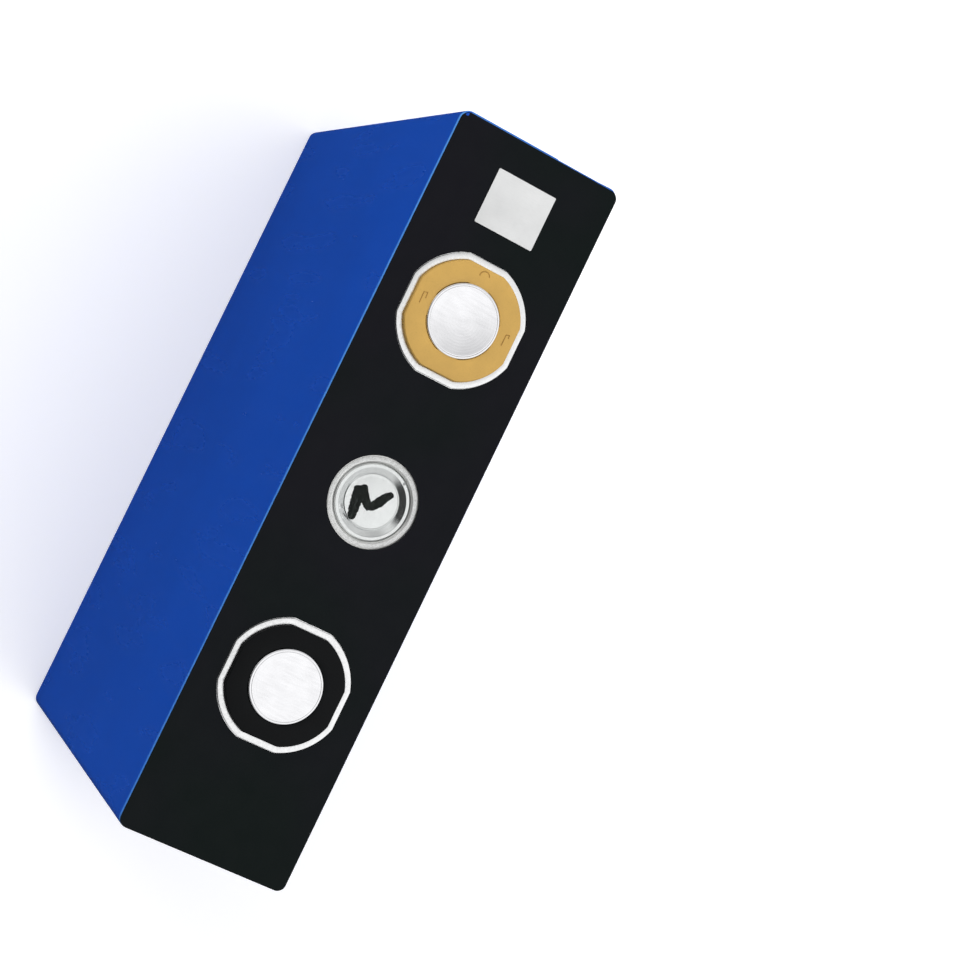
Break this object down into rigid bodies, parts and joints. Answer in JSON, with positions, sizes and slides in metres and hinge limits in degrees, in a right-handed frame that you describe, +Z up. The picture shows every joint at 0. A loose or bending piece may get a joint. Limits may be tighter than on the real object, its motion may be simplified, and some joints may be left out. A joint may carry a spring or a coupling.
{
  "type": "prismatic battery cell",
  "caption": "Upright box-shaped rechargeable cell in blue film, with a black top sheet, two round flat terminals in keyed insulators and a round burst vent between them.",
  "frame": {"origin": "middle of the underside, on the surface that the cell stands on", "axes": "+X along the cover from the positive to the negative terminal, +Y through the thickness, +Z up out of the terminals"},
  "size_m": [0.1738, 0.041, 0.1416],
  "materials": {
    "can_aluminium": "drawn, satin",
    "cover_aluminium": "stamped, satin",
    "terminal_aluminium": "machined, fine",
    "copper": "bright copper",
    "blue_film": "semi-gloss film",
    "black_sheet": "fine matt",
    "label_paper": "matt film label, blank",
    "tan_plastic": "moulded, satin",
    "black_plastic": "moulded, satin",
    "clear_film": "clear film",
    "seal_rubber": "moulded",
    "white_plastic": "moulded, natural",
    "separator": "wound porous film",
    "amber_tape": "heat-proof tape",
    "green_tape": "electrolyte-proof tape"
  },
  "bodies": {
    "root": {"bottom_patch": "blue_film", "can": "can_aluminium", "code_label": "label_paper", "core_sleeve": "clear_film", "core_tray": "white_plastic", "cover_plate": "cover_aluminium", "fill_cap": "cover_aluminium", "fill_plug": "seal_rubber", "front_negative_tab": "copper", "front_positive_tab": "terminal_aluminium", "front_roll": "separator", "front_roll_tape": "green_tape", "negative_connector": "copper", "negative_insulator": "black_plastic", "negative_lower_insulator": "white_plastic", "negative_pole": "copper", "negative_seal": "seal_rubber", "negative_tab_tape": "amber_tape", "negative_terminal_pad": "terminal_aluminium", "positive_connector": "terminal_aluminium", "positive_insulator": "tan_plastic", "positive_lower_insulator": "white_plastic", "positive_pole": "terminal_aluminium", "positive_seal": "seal_rubber", "positive_tab_tape": "amber_tape", "positive_terminal_pad": "terminal_aluminium", "rear_negative_tab": "copper", "rear_positive_tab": "terminal_aluminium", "rear_roll": "separator", "rear_roll_tape": "green_tape", "top_sheet": "black_sheet", "vent_disc": "cover_aluminium", "vent_film": "clear_film", "wrap_film": "blue_film"}
  },
  "joints": []
}
